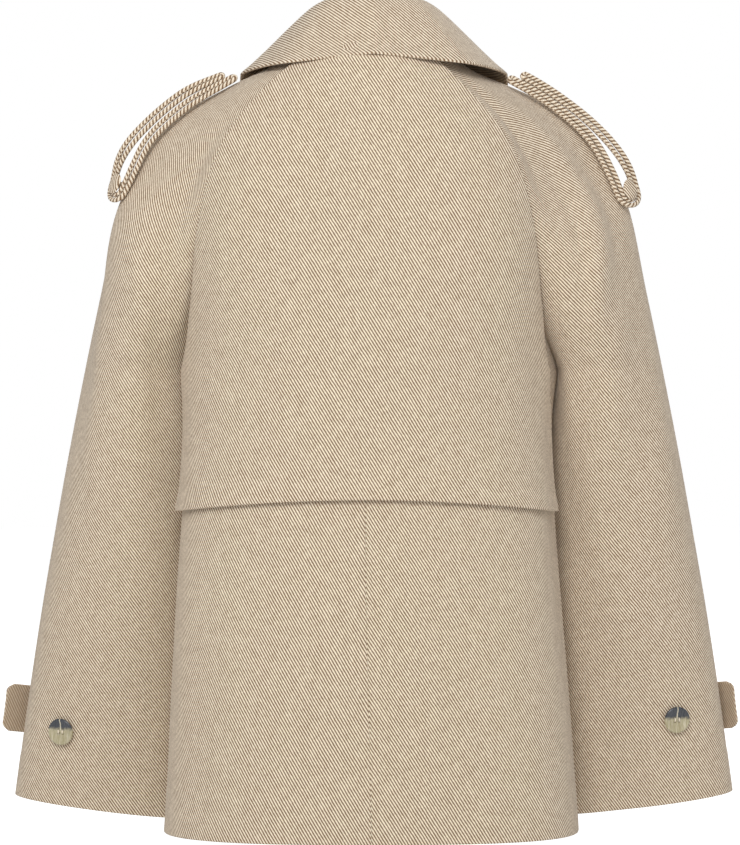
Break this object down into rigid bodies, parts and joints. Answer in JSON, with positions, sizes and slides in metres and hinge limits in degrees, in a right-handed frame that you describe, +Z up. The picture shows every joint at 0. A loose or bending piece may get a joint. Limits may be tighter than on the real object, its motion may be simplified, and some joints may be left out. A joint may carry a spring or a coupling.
{
  "type": "twill jacket",
  "caption": "Hollow raglan jacket in diagonal twill with turned-down collar, storm flap over the back, cord shoulder loops and buttoned cuff straps, filled out as if worn.",
  "frame": {"origin": "inside the neck opening on the centre line, level with the highest points of the shoulders, where the wearer or a hanger carries the jacket", "axes": "+Z up from hem to collar, +Y towards the back of the jacket, +X towards the wearer's left sleeve"},
  "size_m": [0.6465, 0.245, 0.703],
  "materials": {
    "back_left": "cotton and wool twill, matt",
    "sleeve_back_left": "cotton and wool twill, matt",
    "sleeve_front_left": "cotton and wool twill, matt",
    "front_left": "cotton and wool twill, matt",
    "lapel_left": "cotton and wool twill, matt",
    "cuff_strap_left": "cotton and wool twill, matt",
    "shoulder_cord_left": "rouleau cords of the same twill, matt",
    "shoulder_knot_left": "twill wrapped round a knot, matt",
    "cuff_button_left": "horn look, satin",
    "back_right": "cotton and wool twill, matt",
    "sleeve_back_right": "cotton and wool twill, matt",
    "sleeve_front_right": "cotton and wool twill, matt",
    "front_right": "cotton and wool twill, matt",
    "lapel_right": "cotton and wool twill, matt",
    "cuff_strap_right": "cotton and wool twill, matt",
    "shoulder_cord_right": "rouleau cords of the same twill, matt",
    "shoulder_knot_right": "twill wrapped round a knot, matt",
    "cuff_button_right": "horn look, satin",
    "storm_flap": "cotton and wool twill, matt",
    "collar": "cotton and wool twill, matt",
    "collar_stand": "cotton and wool twill, matt",
    "front_button_1": "horn look, satin",
    "front_button_2": "horn look, satin",
    "front_button_3": "horn look, satin"
  },
  "bodies": {
    "root": {"back_left": "back_left", "sleeve_back_left": "sleeve_back_left", "sleeve_front_left": "sleeve_front_left", "front_left": "front_left", "lapel_left": "lapel_left", "cuff_strap_left": "cuff_strap_left", "shoulder_cord_left": "shoulder_cord_left", "shoulder_knot_left": "shoulder_knot_left", "cuff_button_left": "cuff_button_left", "back_right": "back_right", "sleeve_back_right": "sleeve_back_right", "sleeve_front_right": "sleeve_front_right", "front_right": "front_right", "lapel_right": "lapel_right", "cuff_strap_right": "cuff_strap_right", "shoulder_cord_right": "shoulder_cord_right", "shoulder_knot_right": "shoulder_knot_right", "cuff_button_right": "cuff_button_right", "storm_flap": "storm_flap", "collar": "collar", "collar_stand": "collar_stand", "front_button_1": "front_button_1", "front_button_2": "front_button_2", "front_button_3": "front_button_3"}
  },
  "joints": []
}
